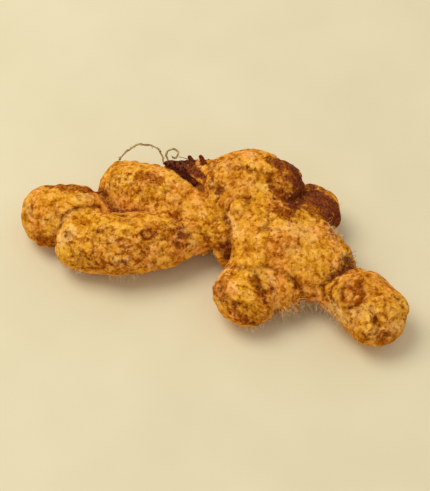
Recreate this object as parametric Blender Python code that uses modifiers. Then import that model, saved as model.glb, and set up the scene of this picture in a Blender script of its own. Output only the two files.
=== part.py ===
"""A fresh ginger root: one knobbly rhizome, lying on a flat surface.

The rhizome grew as one piece, so it is one solid. It is a family of short plump fingers that run
into each other. The fingers carry the rings and round scars that their scale leaves and buds left.
A dried shoot stump, two wiry rootlets and some short broken roots stand out of it.

Run it with: blender --background --python part.py
"""

import math
import random

import bmesh
import bpy
import numpy as np
from mathutils import Vector, noise

MM = 0.001
NODE = "ginger_root"
SEED = 7

# All positions are in millimetres, with the floor at z = 0 and the back towards +y.
# They are measured from this point, and the part itself is centred on the origin.
LAYOUT_CENTRE = (-1.8, -1.0)

# A finger runs from its growing tip back to where its neighbours hold it.
# Each station is (x, y, z, radius).
FINGERS = {
    "body": (
        (51.0, -11.5, 14.5, 12.0),
        (42.0, -5.5, 15.5, 15.0),
        (30.0, 1.5, 17.5, 16.6),
        (21.0, 6.0, 18.5, 15.6),
    ),
    "waist": (
        (-23.0, 15.0, 14.5, 12.0),
        (-7.0, 13.0, 14.8, 12.4),
        (6.0, 13.5, 13.0, 11.0),
        (20.0, 9.0, 14.0, 12.0),
    ),
    "left_long": (
        (-72.5, 17.4, 12.6, 14.2),
        (-60.5, 17.2, 12.8, 14.1),
        (-50.0, 18.0, 9.5, 10.0),
        (-38.0, 17.0, 8.5, 8.0),
    ),
    "left_front": (
        (-57.9, 4.2, 13.5, 13.5),
        (-45.0, 0.6, 14.5, 14.2),
        (-31.0, 1.5, 15.0, 13.4),
        (-17.0, 6.5, 15.0, 12.0),
        (-5.0, 12.0, 15.0, 12.2),
    ),
    "left_back": (
        (-40.5, 30.5, 13.4, 13.8),
        (-27.0, 25.6, 15.5, 13.9),
        (-13.0, 18.0, 15.6, 12.6),
        (-2.0, 13.0, 15.0, 12.2),
    ),
    "crown": (
        (26.3, 24.6, 24.6, 13.2),
        (16.0, 27.0, 25.3, 14.4),
        (7.5, 28.0, 23.5, 13.0),
    ),
    "crown_front": (
        (16.0, 25.0, 24.5, 14.2),
        (16.0, 16.0, 21.5, 14.6),
        (21.0, 8.0, 18.8, 15.6),
    ),
    "crown_foot": (
        (8.5, 26.0, 23.0, 13.0),
        (5.0, 19.0, 18.5, 12.2),
        (2.0, 14.0, 15.0, 11.8),
    ),
    "back_knob": (
        (43.5, 19.5, 12.0, 12.8),
        (36.0, 10.0, 15.0, 14.0),
        (30.0, 2.5, 17.0, 16.0),
    ),
    "front_knob": (
        (13.0, -25.0, 12.5, 14.0),
        (18.5, -13.5, 14.4, 12.8),
        (22.5, -2.0, 17.0, 15.4),
        (22.0, 6.0, 18.3, 15.6),
    ),
    "front_bud": (
        (28.5, -18.5, 11.5, 12.5),
        (29.5, -8.5, 14.5, 14.5),
        (29.0, 0.5, 17.2, 16.4),
    ),
    "front_flank": (
        (40.5, -14.5, 12.0, 12.0),
        (40.0, -8.0, 14.5, 14.0),
        (38.0, -2.0, 16.2, 15.6),
    ),
    "right_thumb": (
        (69.4, -35.2, 13.2, 14.1),
        (62.0, -27.5, 13.8, 13.3),
        (52.5, -19.5, 12.6, 10.8),
        (44.0, -11.0, 14.0, 12.0),
    ),
    "red_bud": (
        (5.2, -3.0, 5.5, 2.8),
        (3.8, 0.5, 13.0, 5.0),
        (2.2, 4.5, 20.0, 6.2),
    ),
    "top_bud": (
        (10.5, 10.0, 31.0, 4.6),
        (15.0, 10.5, 25.0, 7.0),
    ),
    "stump": (
        (-22.0, 40.0, 22.0, 1.4),
        (-12.0, 35.5, 24.0, 4.0),
        (-3.0, 31.5, 25.5, 6.4),
        (4.0, 29.0, 25.0, 8.0),
    ),
}
SECTION_HEIGHT = 0.94  # a finger's section, its height as a share of its width
CREASE = 0.9  # how softly two fingers run into each other
CREASE_DIP = 1.0  # how far the skin is drawn in where they meet at an angle
CREASE_GAIN = 2.0  # a crease of a right angle is drawn in fully
PULLS = 3  # rounds of pulling that bring the rough skin onto the smooth form
SHORTEST_WAY = 0.3  # keeps the ways outwards steady where two fingers' ways oppose each other
SHORTEST_REACH = 1e-6  # keeps a point on an axis from having no way outwards

# These fill the slopes between other fingers, and have no rings of their own.
SLOPES = ("crown_front", "crown_foot", "front_bud", "front_flank")

# Rings left by the scale leaves, as distances along a finger from its tip.
FIRST_RING = 3.4
RING_STEP = 4.0
RING_GROWTH = 1.15  # each step is longer than the one before it
LONGEST_RING_STEP = 9.5
RING_UNEVENNESS = 0.15
RING_LIP = 0.7
RING_LIP_WIDTH = 1.2
RING_SWELL = 1.1  # how far the skin swells between two rings
SWELL_LEVEL = 0.6  # the share of that swelling that lies under the smooth form
RING_TILT = 0.25
RING_WANDER = 1.4  # how far a ring strays from its plane
RING_WANDER_BREADTH = 9.0
RING_FADE = 0.75  # the usual strength of a lip, which comes and goes round a ring
RING_FADE_REACH = 0.9
RING_FADE_BREADTH = 12.0
FAINTEST_RING = 0.1
NOISE_SHIFTS = 50  # each ring takes its noise from a place of its own, within this range

# Lumps of the skin, from broad to fine, as (height, breadth).
LUMPS = ((1.3, 16.0), (0.7, 7.0))
LUMP_SHIFT = 11.0

# Round scars of old shoots, roots and buds, as (x, y, z, radius, rim height, middle height).
SCARS = (
    (-30.0, -2.8, 27.3, 3.0, 0.8, -0.7),
    (-64.0, -1.0, 23.2, 3.6, 0.4, -0.7),
    (-42.6, -14.0, 21.1, 2.8, 0.0, 1.2),
    (-81.7, 14.0, 20.5, 3.2, 0.4, -0.5),
    (-38.0, 43.0, 19.0, 3.4, 0.5, -0.6),
    (2.7, -26.0, 21.4, 4.2, 0.7, -0.4),
    (9.0, -33.5, 20.0, 2.2, 0.2, -0.9),
    (58.5, -31.0, 26.0, 6.6, 0.9, -0.5),
    (58.5, -31.0, 26.0, 3.2, 0.4, -0.2),
    (72.5, -46.5, 15.0, 5.6, 0.3, -1.7),
    (37.0, 27.0, 25.0, 4.4, 0.5, -0.9),
    (53.0, 27.0, 12.0, 4.6, 0.6, -0.9),
)
RIM_SHARE = 0.3  # a rim's half width and a middle's reach, as shares of the scar's radius
MIDDLE_SHARE = 0.6
SCAR_WOBBLE = 0.35
SCAR_WOBBLE_BREADTH = 2.8

# Short folds of the skin, as (start, end, depth).
FOLDS = (
    ((35.5, -19.5, 24.0), (35.0, -27.0, 18.5), 1.0),
    ((67.0, -38.0, 24.0), (69.5, -44.0, 19.0), 1.0),
    ((6.5, -35.5, 17.0), (15.0, -38.5, 14.0), 0.9),
    ((22.4, -21.0, 25.0), (24.0, -9.0, 31.0), 0.7),
)
FOLD_WIDTH = 1.3

# The dried stump of a shoot: tapering strands from a broad base to a ragged point.
STUMP_BASE = (-4.0, 32.0, 25.5)
STUMP_POINT = (-24.5, 41.0, 22.0)
STUMP_STRANDS = 11
STUMP_SPREAD = 5.0  # how far the strands' bases stand from each other
STRAND_RADII = (2.2, 1.9, 1.3, 0.5)
SHORTEST_STRAND = 0.6  # as a share of the way to the point

# Two dry horns above the stump, as rows of x, y, z, radius.
HORNS = (
    ((-9.5, 33.0, 26.5, 2.4), (-10.5, 35.6, 29.8, 1.7), (-11.8, 37.0, 31.8, 0.6)),
    ((-4.5, 32.5, 28.5, 2.0), (-5.6, 34.8, 31.6, 1.3), (-6.8, 36.0, 33.4, 0.5)),
)

# Two wiry rootlets that curl up from the stump. One arches over the left_back finger.
CURLS = (
    (
        (-18.0, 37.5, 20.5),
        (-22.7, 40.5, 21.0),
        (-24.2, 43.2, 23.0),
        (-25.6, 45.8, 25.0),
        (-29.3, 46.6, 27.0),
        (-33.1, 46.8, 27.5),
        (-36.8, 46.0, 27.0),
        (-39.7, 44.6, 25.0),
        (-42.2, 43.8, 23.0),
        (-43.6, 42.5, 21.5),
    ),
    (
        (-16.5, 38.0, 20.5),
        (-20.8, 40.9, 22.0),
        (-22.0, 43.6, 24.0),
        (-20.3, 45.2, 25.5),
        (-18.0, 45.0, 26.0),
        (-16.5, 43.3, 25.5),
        (-17.5, 41.7, 24.5),
        (-19.4, 42.4, 24.0),
    ),
)
CURL_RADIUS = 0.45

# Short broken roots, which stand out low on the sides.
ROOTS = 16
ROOT_LENGTHS = (1.0, 2.6)
ROOT_RADII = (1.2, 1.0, 0.45)
ROOT_DEPTH = 3.5  # how deep each is rooted under the skin
ROOT_LEVEL = (2.5, 8.0)
ROOT_SLOPE = (-1.2, -0.3)
ROOT_BEND = 0.2
ROOT_SAG = 0.6
ROOT_ELBOW = 0.4
LOWEST_ROOT_TIP = 1.2
STEPS_OUTWARDS = 30  # steps that find the skin from a finger's axis

# Grain of the skin before it is thinned out, and the triangles that it keeps.
VOXEL = 1.25
SKIN_TRIANGLES = 10000
TUBE_SIDES = 4
FINGER_SIDES = 12
NOSE_ANGLES = (20, 40, 60, 78)
WELD = 0.01  # points closer than this are one point
CUT_REACH = 1e-7  # metres off the floor that still count as on it

SKIN_COLOUR = (0.58, 0.26, 0.05, 1)
SKIN_ROUGHNESS = 0.62


def smooth_axis(stations, per_span=6):
    """Rows of x, y, z, radius along a smooth curve through the stations."""
    points = np.array(stations, float)
    padded = np.vstack([2 * points[0] - points[1], points, 2 * points[-1] - points[-2]])
    rows = []
    for before, start, end, after in zip(padded, padded[1:], padded[2:], padded[3:]):
        for t in np.linspace(0, 1, per_span, endpoint=False):
            rows.append(
                start
                + 0.5 * t * (end - before)
                + t**2 * (before - 2.5 * start + 2 * end - 0.5 * after)
                + t**3 * (1.5 * (start - end) + 0.5 * (after - before))
            )
    rows.append(points[-1])
    return np.array(rows)


def read_finger(points, axis):
    """How far points lie outside a finger, the ways outwards, and their distances from its tip."""
    gap = np.full(len(points), np.inf)
    outward = np.zeros_like(points)
    along = np.zeros(len(points))
    travelled = axis[0, 3]
    for number, (start, end) in enumerate(zip(axis, axis[1:])):
        run = end[:3] - start[:3]
        length = np.linalg.norm(run)
        share = (points - start[:3]) @ run / length**2
        held = np.clip(share, 0, 1)
        offset = points - start[:3] - held[:, None] * run
        offset[:, 2] /= SECTION_HEIGHT
        reach = np.maximum(np.linalg.norm(offset, axis=1), SHORTEST_REACH)
        here = reach - (start[3] + held * (end[3] - start[3]))
        nearer = here < gap
        gap[nearer] = here[nearer]
        outward[nearer] = (offset / reach[:, None])[nearer]
        passed = share if number == 0 else held
        along[nearer] = (travelled + np.minimum(passed, 1) * length)[nearer]
        travelled += length
    return gap, outward, along


def read_skin(points, fingers):
    """The gap to the skin that all fingers share, the ways outwards, each finger's part in it,
    the distances from the fingers' tips, and how creased the skin is from 0 to 1."""
    readings = [read_finger(points, axis) for axis in fingers]
    gaps = np.array([reading[0] for reading in readings])
    nearest = gaps.min(axis=0)
    shares = np.exp((nearest - gaps) / CREASE)
    total = shares.sum(axis=0)
    shares /= total
    outward = sum(share[:, None] * reading[1] for share, reading in zip(shares, readings))
    length = np.linalg.norm(outward, axis=1)
    outward /= np.maximum(length, SHORTEST_WAY)[:, None]
    alongs = np.array([reading[2] for reading in readings])
    creased = np.clip(CREASE_GAIN * (1 - length**2), 0, 1)
    return nearest - CREASE * np.log(total), outward, shares, alongs, creased


def pull_to_skin(points, fingers):
    """The points, moved onto the smooth form that all the fingers share."""
    for _ in range(PULLS):
        gap, outward, _, _, _ = read_skin(points, fingers)
        points = points - gap[:, None] * outward
    return points


def noise_at(points, breadth, offset=0.0):
    """Smooth noise from about -1 to 1, with lumps of that breadth."""
    shift = Vector((offset, -offset, 0.5 * offset))
    return np.array([noise.noise(Vector(point) / breadth + shift) for point in points])


def ring_places(axis, rng):
    """Distances from the tip to each ring, further apart as they leave the tip."""
    length = axis[0, 3] + np.linalg.norm(np.diff(axis[:, :3], axis=0), axis=1).sum()
    places, step = [FIRST_RING], RING_STEP
    while places[-1] < length:
        places.append(places[-1] + step * (1 + rng.uniform(-RING_UNEVENNESS, RING_UNEVENNESS)))
        step = min(step * RING_GROWTH, LONGEST_RING_STEP)
    return np.array(places)


def ring_relief(points, along, axis, rng):
    """Height of a finger's rings: a lip at each ring, and a slight swelling between them."""
    places = ring_places(axis, rng)
    lean = np.array([rng.uniform(-1, 1) for _ in range(3)])
    lean *= RING_TILT / np.linalg.norm(lean)
    middle = axis[:, :3].mean(axis=0)
    wander = RING_WANDER * noise_at(points, RING_WANDER_BREADTH, rng.uniform(0, NOISE_SHIFTS))
    along = along + (points - middle) @ lean + wander
    after = np.clip(np.searchsorted(places, along), 1, len(places) - 1)
    low, high = places[after - 1], places[after]
    share = np.clip((along - low) / (high - low), 0, 1)
    off = np.minimum(np.abs(along - low), np.abs(along - high))
    fade = noise_at(points, RING_FADE_BREADTH, rng.uniform(0, NOISE_SHIFTS))
    fade = np.clip(RING_FADE + RING_FADE_REACH * fade, FAINTEST_RING, 1)
    lip = RING_LIP * np.exp(-((off / RING_LIP_WIDTH) ** 2)) * fade
    return lip + RING_SWELL * (np.sin(math.pi * share) - SWELL_LEVEL)


def scar_relief(points, fingers):
    """Height of the round scars, each a rim round a sunk or raised middle."""
    height = np.zeros(len(points))
    wobble = SCAR_WOBBLE * noise_at(points, SCAR_WOBBLE_BREADTH)
    scars = np.array(SCARS)
    middles = pull_to_skin(scars[:, :3], fingers)
    for middle, (radius, rim_height, middle_height) in zip(middles, scars[:, 3:]):
        reach = np.linalg.norm(points - middle, axis=1) / radius + wobble
        height += rim_height * np.exp(-(((reach - 1) / RIM_SHARE) ** 2))
        height += middle_height * np.exp(-((reach / MIDDLE_SHARE) ** 4))
    return height


def fold_relief(points, fingers):
    """Depth of the short folds, as a negative height that fades out at their ends."""
    height = np.zeros(len(points))
    for start, end, depth in FOLDS:
        start, end = pull_to_skin(np.array((start, end)), fingers)
        run = end - start
        share = (points - start) @ run / (run @ run)
        offset = points - start - np.clip(share, 0, 1)[:, None] * run
        reach = np.linalg.norm(offset, axis=1) / FOLD_WIDTH
        height -= depth * np.exp(-(reach**2))
    return height


def relief(points, axes, shares, alongs, creased):
    """Height of the skin over its smooth form."""
    rng = random.Random(SEED)
    fingers = list(axes.values())
    height = scar_relief(points, fingers) + fold_relief(points, fingers)
    for (name, axis), share, along in zip(axes.items(), shares, alongs):
        if name not in SLOPES:
            height += share**2 * ring_relief(points, along, axis, rng)
    for number, (size, breadth) in enumerate(LUMPS):
        height += size * noise_at(points, breadth, LUMP_SHIFT * number)
    return height - CREASE_DIP * creased


def add_tube(name, rows, sides):
    """A closed tube as a mesh object, along rows of x, y, z, radius."""
    curve = bpy.data.curves.new(name, "CURVE")
    curve.dimensions = "3D"
    curve.bevel_depth = MM
    curve.bevel_resolution = sides // 2 - 2
    curve.use_fill_caps = True
    spline = curve.splines.new("POLY")
    spline.points.add(len(rows) - 1)
    for point, (x, y, z, radius) in zip(spline.points, rows):
        point.co = (x * MM, y * MM, z * MM, 1)
        point.radius = radius
    path = bpy.data.objects.new(name, curve)
    bpy.context.scene.collection.objects.link(path)
    bpy.context.view_layer.update()
    graph = bpy.context.evaluated_depsgraph_get()
    mesh = bpy.data.meshes.new_from_object(path.evaluated_get(graph))
    bpy.data.objects.remove(path)
    bm = bmesh.new()
    bm.from_mesh(mesh)
    bmesh.ops.remove_doubles(bm, verts=bm.verts, dist=WELD * MM)
    bmesh.ops.recalc_face_normals(bm, faces=bm.faces)
    bm.to_mesh(mesh)
    bm.free()
    return bpy.data.objects.new(name, mesh)


def round_ended(axis):
    """The axis with the points of a rounded nose added past each end."""

    def nose(end, inner):
        way = (end[:3] - inner[:3]) / np.linalg.norm(end[:3] - inner[:3])
        return [
            np.append(end[:3] + way * end[3] * math.sin(angle), end[3] * math.cos(angle))
            for angle in np.radians(NOSE_ANGLES)
        ]

    return np.vstack([nose(axis[0], axis[1])[::-1], axis, nose(axis[-1], axis[-2])])


def apply_modifiers(obj):
    """Replaces the object's mesh by the mesh that its modifiers make."""
    bpy.context.view_layer.update()
    graph = bpy.context.evaluated_depsgraph_get()
    shaped = bpy.data.meshes.new_from_object(obj.evaluated_get(graph))
    obj.modifiers.clear()
    obj.data = shaped


def remesh(body):
    """Gives the body one even skin, with no folds in it."""
    even = body.modifiers.new("even_skin", "REMESH")
    even.mode = "VOXEL"
    even.voxel_size = VOXEL * MM
    apply_modifiers(body)


def rough_body(axes, collection):
    """The fingers as plain tubes, run together."""
    bm = bmesh.new()
    for name, axis in axes.items():
        tube = add_tube(name, round_ended(axis), FINGER_SIDES)
        bm.from_mesh(tube.data)
        bpy.data.objects.remove(tube)
    mesh = bpy.data.meshes.new(NODE)
    bm.to_mesh(mesh)
    bm.free()
    body = bpy.data.objects.new(NODE, mesh)
    collection.objects.link(body)
    remesh(body)
    return body


def vertex_positions(body):
    """The body's vertices as rows of x, y, z in millimetres."""
    flat = np.empty(len(body.data.vertices) * 3)
    body.data.vertices.foreach_get("co", flat)
    return flat.reshape(-1, 3) / MM


def set_vertex_positions(body, points):
    """Moves the body's vertices to rows of x, y, z in millimetres."""
    body.data.vertices.foreach_set("co", (points * MM).ravel())
    body.data.update()


def shape_skin(body, axes):
    """Turns the rough body into the smooth shared form, then raises its rings, lumps and scars."""
    fingers = list(axes.values())
    set_vertex_positions(body, pull_to_skin(vertex_positions(body), fingers))
    remesh(body)
    points = pull_to_skin(vertex_positions(body), fingers)
    _, outward, shares, alongs, creased = read_skin(points, fingers)
    height = relief(points, axes, shares, alongs, creased)
    set_vertex_positions(body, points + height[:, None] * outward)


def thin_out(body, triangles):
    """Keeps about that many triangles, with more of them where the skin bends most."""
    body.data.calc_loop_triangles()
    fewer = body.modifiers.new("fewer_faces", "DECIMATE")
    fewer.ratio = triangles / len(body.data.loop_triangles)
    fewer.use_collapse_triangulate = True
    apply_modifiers(body)


def flatten_feet(body):
    """Cuts the underside level with the floor, which leaves the small flats it rests on."""
    bm = bmesh.new()
    bm.from_mesh(body.data)
    everything = bm.verts[:] + bm.edges[:] + bm.faces[:]
    cut = bmesh.ops.bisect_plane(
        bm,
        geom=everything,
        dist=CUT_REACH,
        plane_co=(0, 0, 0),
        plane_no=(0, 0, -1),
        clear_outer=True,
    )
    rims = [part for part in cut["geom_cut"] if isinstance(part, bmesh.types.BMEdge)]
    bmesh.ops.holes_fill(bm, edges=rims, sides=0)
    bmesh.ops.recalc_face_normals(bm, faces=bm.faces)
    bm.to_mesh(body.data)
    bm.free()


def stump_strands(rng):
    """Rows of x, y, z, radius for each strand of the dried stump."""
    base = np.array(STUMP_BASE)
    run = np.array(STUMP_POINT) - base
    for _ in range(STUMP_STRANDS):
        spread = STUMP_SPREAD * np.array([rng.uniform(-1, 1) for _ in range(3)])
        reach = rng.uniform(SHORTEST_STRAND, 1)
        rows = []
        for share, radius in zip(np.linspace(0, reach, len(STRAND_RADII)), STRAND_RADII):
            rows.append((*(base + share * run + (1 - share) * spread), radius))
        yield rows


def root_rows(axes, rng):
    """Rows of x, y, z, radius for each broken root, on the skin low down on the sides."""
    fingers = list(axes.values())
    found = []
    while len(found) < ROOTS:
        axis = fingers[rng.randrange(len(fingers))]
        place = axis[rng.randrange(len(axis) // 3, len(axis)), :3].copy()
        heading = rng.uniform(0, 2 * math.pi)
        way = np.array([math.cos(heading), math.sin(heading), rng.uniform(*ROOT_SLOPE)])
        way /= np.linalg.norm(way)
        for _ in range(STEPS_OUTWARDS):
            gap = read_skin(place[None], fingers)[0][0]
            place -= min(gap, 0) * way
        if not ROOT_LEVEL[0] < place[2] < ROOT_LEVEL[1]:
            continue
        length = rng.uniform(*ROOT_LENGTHS)
        bend = ROOT_BEND * length * np.array([rng.uniform(-1, 1), rng.uniform(-1, 1), -ROOT_SAG])
        elbow = place + ROOT_ELBOW * length * way
        tip = place + length * way + bend
        tip[2] = max(tip[2], LOWEST_ROOT_TIP)
        rows = (place - ROOT_DEPTH * way, elbow, tip)
        found.append([(*row, radius) for row, radius in zip(rows, ROOT_RADII)])
    return found


def thin_pieces(axes):
    """Everything that stands out of the skin, as named rows of x, y, z, radius."""
    rng = random.Random(SEED)
    pieces = {}
    for number, rows in enumerate(stump_strands(rng)):
        pieces[f"strand_{number}"] = rows
    for number, rows in enumerate(HORNS):
        pieces[f"horn_{number}"] = rows
    for number, points in enumerate(CURLS):
        pieces[f"curl_{number}"] = [(*point, CURL_RADIUS) for point in points]
    for number, rows in enumerate(root_rows(axes, rng)):
        pieces[f"root_{number}"] = rows
    return pieces


def grow_on(body, pieces):
    """Joins the thin pieces to the body as one solid."""
    joined = bpy.data.collections.new("joined_pieces")
    bpy.context.scene.collection.children.link(joined)
    for name, rows in pieces.items():
        joined.objects.link(add_tube(name, rows, TUBE_SIDES))
    union = body.modifiers.new("grown_on", "BOOLEAN")
    union.operation = "UNION"
    union.solver = "EXACT"
    union.operand_type = "COLLECTION"
    union.collection = joined
    apply_modifiers(body)
    for piece in list(joined.objects):
        bpy.data.objects.remove(piece)
    bpy.data.collections.remove(joined)


def centre(body):
    """Moves the part so that its middle is over the origin."""
    points = vertex_positions(body)
    set_vertex_positions(body, points - (*LAYOUT_CENTRE, 0))


def skin_material():
    """Golden brown papery skin."""
    material = bpy.data.materials.new("ginger_skin")
    material.use_nodes = True
    shader = material.node_tree.nodes["Principled BSDF"]
    shader.inputs["Base Color"].default_value = SKIN_COLOUR
    shader.inputs["Roughness"].default_value = SKIN_ROUGHNESS
    return material


def main():
    for obj in list(bpy.data.objects):
        bpy.data.objects.remove(obj)
    collection = bpy.data.collections.new("ginger_root_parts")
    bpy.context.scene.collection.children.link(collection)
    axes = {name: smooth_axis(stations) for name, stations in FINGERS.items()}
    body = rough_body(axes, collection)
    shape_skin(body, axes)
    thin_out(body, SKIN_TRIANGLES)
    flatten_feet(body)
    grow_on(body, thin_pieces(axes))
    centre(body)
    body.data.materials.clear()
    body.data.materials.append(skin_material())
    body.data.shade_smooth()


main()
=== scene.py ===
# The looks of the ginger root: its skin, dried stump, rootlets and root hairs, and the studio.
# The skin follows the same fingers, rings, scars and folds as the solid, at a finer grain.
# Sizes are in millimetres, in the solid's own layout, until a mesh is made.
import math
import random

import bpy
import numpy as np
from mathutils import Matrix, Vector, noise


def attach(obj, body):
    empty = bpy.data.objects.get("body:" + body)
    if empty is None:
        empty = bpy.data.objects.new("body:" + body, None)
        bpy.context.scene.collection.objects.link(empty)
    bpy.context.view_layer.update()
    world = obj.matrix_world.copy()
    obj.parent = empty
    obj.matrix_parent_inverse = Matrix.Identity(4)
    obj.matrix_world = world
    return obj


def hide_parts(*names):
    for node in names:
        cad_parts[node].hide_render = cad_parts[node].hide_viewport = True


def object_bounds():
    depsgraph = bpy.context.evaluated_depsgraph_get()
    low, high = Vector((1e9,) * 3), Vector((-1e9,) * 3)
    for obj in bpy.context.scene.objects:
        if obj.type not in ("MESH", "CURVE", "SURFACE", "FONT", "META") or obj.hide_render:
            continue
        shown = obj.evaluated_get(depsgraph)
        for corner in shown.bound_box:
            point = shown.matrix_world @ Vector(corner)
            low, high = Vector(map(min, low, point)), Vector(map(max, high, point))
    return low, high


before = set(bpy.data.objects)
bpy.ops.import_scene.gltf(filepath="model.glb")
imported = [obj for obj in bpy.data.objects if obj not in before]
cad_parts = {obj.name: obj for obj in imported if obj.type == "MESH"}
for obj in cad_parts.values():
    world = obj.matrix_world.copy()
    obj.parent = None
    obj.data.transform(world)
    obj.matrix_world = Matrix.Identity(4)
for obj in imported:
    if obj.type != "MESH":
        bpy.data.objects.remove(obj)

CAD_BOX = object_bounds()
MM = 0.001
NODE = "ginger_root"
BODY = "root"
SEED = 7

# The same layout as the solid's source, with the floor at z = 0 and the back towards +y.
LAYOUT_CENTRE = (-1.8, -1.0)

# A finger runs from its growing tip back to where its neighbours hold it.
# Each station is (x, y, z, radius).
FINGERS = {
    "body": (
        (51.0, -11.5, 14.5, 12.0),
        (42.0, -5.5, 15.5, 15.0),
        (30.0, 1.5, 17.5, 16.6),
        (21.0, 6.0, 18.5, 15.6),
    ),
    "waist": (
        (-23.0, 15.0, 14.5, 12.0),
        (-7.0, 13.0, 14.8, 12.4),
        (6.0, 13.5, 13.0, 11.0),
        (20.0, 9.0, 14.0, 12.0),
    ),
    "left_long": (
        (-72.5, 17.4, 12.6, 14.2),
        (-60.5, 17.2, 12.8, 14.1),
        (-50.0, 18.0, 9.5, 10.0),
        (-38.0, 17.0, 8.5, 8.0),
    ),
    "left_front": (
        (-57.9, 4.2, 13.5, 13.5),
        (-45.0, 0.6, 14.5, 14.2),
        (-31.0, 1.5, 15.0, 13.4),
        (-17.0, 6.5, 15.0, 12.0),
        (-5.0, 12.0, 15.0, 12.2),
    ),
    "left_back": (
        (-40.5, 30.5, 13.4, 13.8),
        (-27.0, 25.6, 15.5, 13.9),
        (-13.0, 18.0, 15.6, 12.6),
        (-2.0, 13.0, 15.0, 12.2),
    ),
    "crown": (
        (26.3, 24.6, 24.6, 13.2),
        (16.0, 27.0, 25.3, 14.4),
        (7.5, 28.0, 23.5, 13.0),
    ),
    "crown_front": (
        (16.0, 25.0, 24.5, 14.2),
        (16.0, 16.0, 21.5, 14.6),
        (21.0, 8.0, 18.8, 15.6),
    ),
    "crown_foot": (
        (8.5, 26.0, 23.0, 13.0),
        (5.0, 19.0, 18.5, 12.2),
        (2.0, 14.0, 15.0, 11.8),
    ),
    "back_knob": (
        (43.5, 19.5, 12.0, 12.8),
        (36.0, 10.0, 15.0, 14.0),
        (30.0, 2.5, 17.0, 16.0),
    ),
    "front_knob": (
        (13.0, -25.0, 12.5, 14.0),
        (18.5, -13.5, 14.4, 12.8),
        (22.5, -2.0, 17.0, 15.4),
        (22.0, 6.0, 18.3, 15.6),
    ),
    "front_bud": (
        (28.5, -18.5, 11.5, 12.5),
        (29.5, -8.5, 14.5, 14.5),
        (29.0, 0.5, 17.2, 16.4),
    ),
    "front_flank": (
        (40.5, -14.5, 12.0, 12.0),
        (40.0, -8.0, 14.5, 14.0),
        (38.0, -2.0, 16.2, 15.6),
    ),
    "right_thumb": (
        (69.4, -35.2, 13.2, 14.1),
        (62.0, -27.5, 13.8, 13.3),
        (52.5, -19.5, 12.6, 10.8),
        (44.0, -11.0, 14.0, 12.0),
    ),
    "red_bud": (
        (5.2, -3.0, 5.5, 2.8),
        (3.8, 0.5, 13.0, 5.0),
        (2.2, 4.5, 20.0, 6.2),
    ),
    "top_bud": (
        (10.5, 10.0, 31.0, 4.6),
        (15.0, 10.5, 25.0, 7.0),
    ),
    "stump": (
        (-22.0, 40.0, 22.0, 1.4),
        (-12.0, 35.5, 24.0, 4.0),
        (-3.0, 31.5, 25.5, 6.4),
        (4.0, 29.0, 25.0, 8.0),
    ),
}
SECTION_HEIGHT = 0.94  # a finger's section, its height as a share of its width
CREASE = 0.9  # how softly two fingers run into each other
CREASE_DIP = 1.0  # how far the skin is drawn in where they meet at an angle
CREASE_GAIN = 2.0  # a crease of a right angle is drawn in fully
PULLS = 3  # rounds of pulling that bring the rough skin onto the smooth form
SHORTEST_WAY = 0.3  # keeps the ways outwards steady where two fingers' ways oppose each other
SHORTEST_REACH = 1e-6  # keeps a point on an axis from having no way outwards

# These fill the slopes between other fingers, and have no rings of their own.
SLOPES = ("crown_front", "crown_foot", "front_bud", "front_flank")

# Rings left by the scale leaves, as distances along a finger from its tip.
FIRST_RING = 3.4
RING_STEP = 4.0
RING_GROWTH = 1.15  # each step is longer than the one before it
LONGEST_RING_STEP = 9.5
RING_UNEVENNESS = 0.15
RING_LIP = 0.7
RING_LIP_WIDTH = 1.2
RING_LINE_WIDTH = 0.65
RING_EDGE = 0.3
RING_SWELL = 1.1  # how far the skin swells between two rings
SWELL_LEVEL = 0.6  # the share of that swelling that lies under the smooth form
RING_TILT = 0.25
RING_WANDER = 1.4  # how far a ring strays from its plane
RING_WANDER_BREADTH = 9.0
RING_FADE = 0.75  # the usual strength of a lip, which comes and goes round a ring
RING_FADE_REACH = 0.9
RING_FADE_BREADTH = 12.0
FAINTEST_RING = 0.1
NOISE_SHIFTS = 50  # each ring takes its noise from a place of its own, within this range

# Lumps of the skin, from broad to fine, as (height, breadth). The finer ones are the scene's own.
LUMPS = ((1.3, 16.0), (0.7, 7.0))
LUMP_SHIFT = 11.0
FINE_LUMPS = ((0.36, 3.4), (0.2, 1.9))
WRINKLE = 0.16
WRINKLE_LENGTH = 4.5
WRINKLE_STEP = 1.1
FINE_SHIFT = 31.0
PIT_SPACING = 3.4
PIT_RADIUS = 0.7
PIT_DEPTH = 0.25
PIT_SHARE = 0.8
PIT_SHUFFLE = 37.0

# Round scars of old shoots, roots and buds, as (x, y, z, radius, rim height, middle height).
SCARS = (
    (-30.0, -2.8, 27.3, 3.0, 0.8, -0.7),
    (-64.0, -1.0, 23.2, 3.6, 0.4, -0.7),
    (-42.6, -14.0, 21.1, 2.8, 0.0, 1.2),
    (-81.7, 14.0, 20.5, 3.2, 0.4, -0.5),
    (-38.0, 43.0, 19.0, 3.4, 0.5, -0.6),
    (2.7, -26.0, 21.4, 4.2, 0.7, -0.4),
    (9.0, -33.5, 20.0, 2.2, 0.2, -0.9),
    (58.5, -31.0, 26.0, 6.6, 0.9, -0.5),
    (58.5, -31.0, 26.0, 3.2, 0.4, -0.2),
    (72.5, -46.5, 15.0, 5.6, 0.3, -1.7),
    (37.0, 27.0, 25.0, 4.4, 0.5, -0.9),
    (53.0, 27.0, 12.0, 4.6, 0.6, -0.9),
)
RIM_SHARE = 0.3  # a rim's half width and a middle's reach, as shares of the scar's radius
MIDDLE_SHARE = 0.6
SCAR_WOBBLE = 0.35
SCAR_WOBBLE_BREADTH = 2.8
SCAR_EDGE = 0.75  # where the dark line inside a rim runs, as a share of the radius too
SCAR_EDGE_WIDTH = 0.16
SCAR_FADE = 0.7  # the usual darkness of a scar, which comes and goes
SCAR_FADE_REACH = 1.0
FAINTEST_SCAR = 0.2

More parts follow.
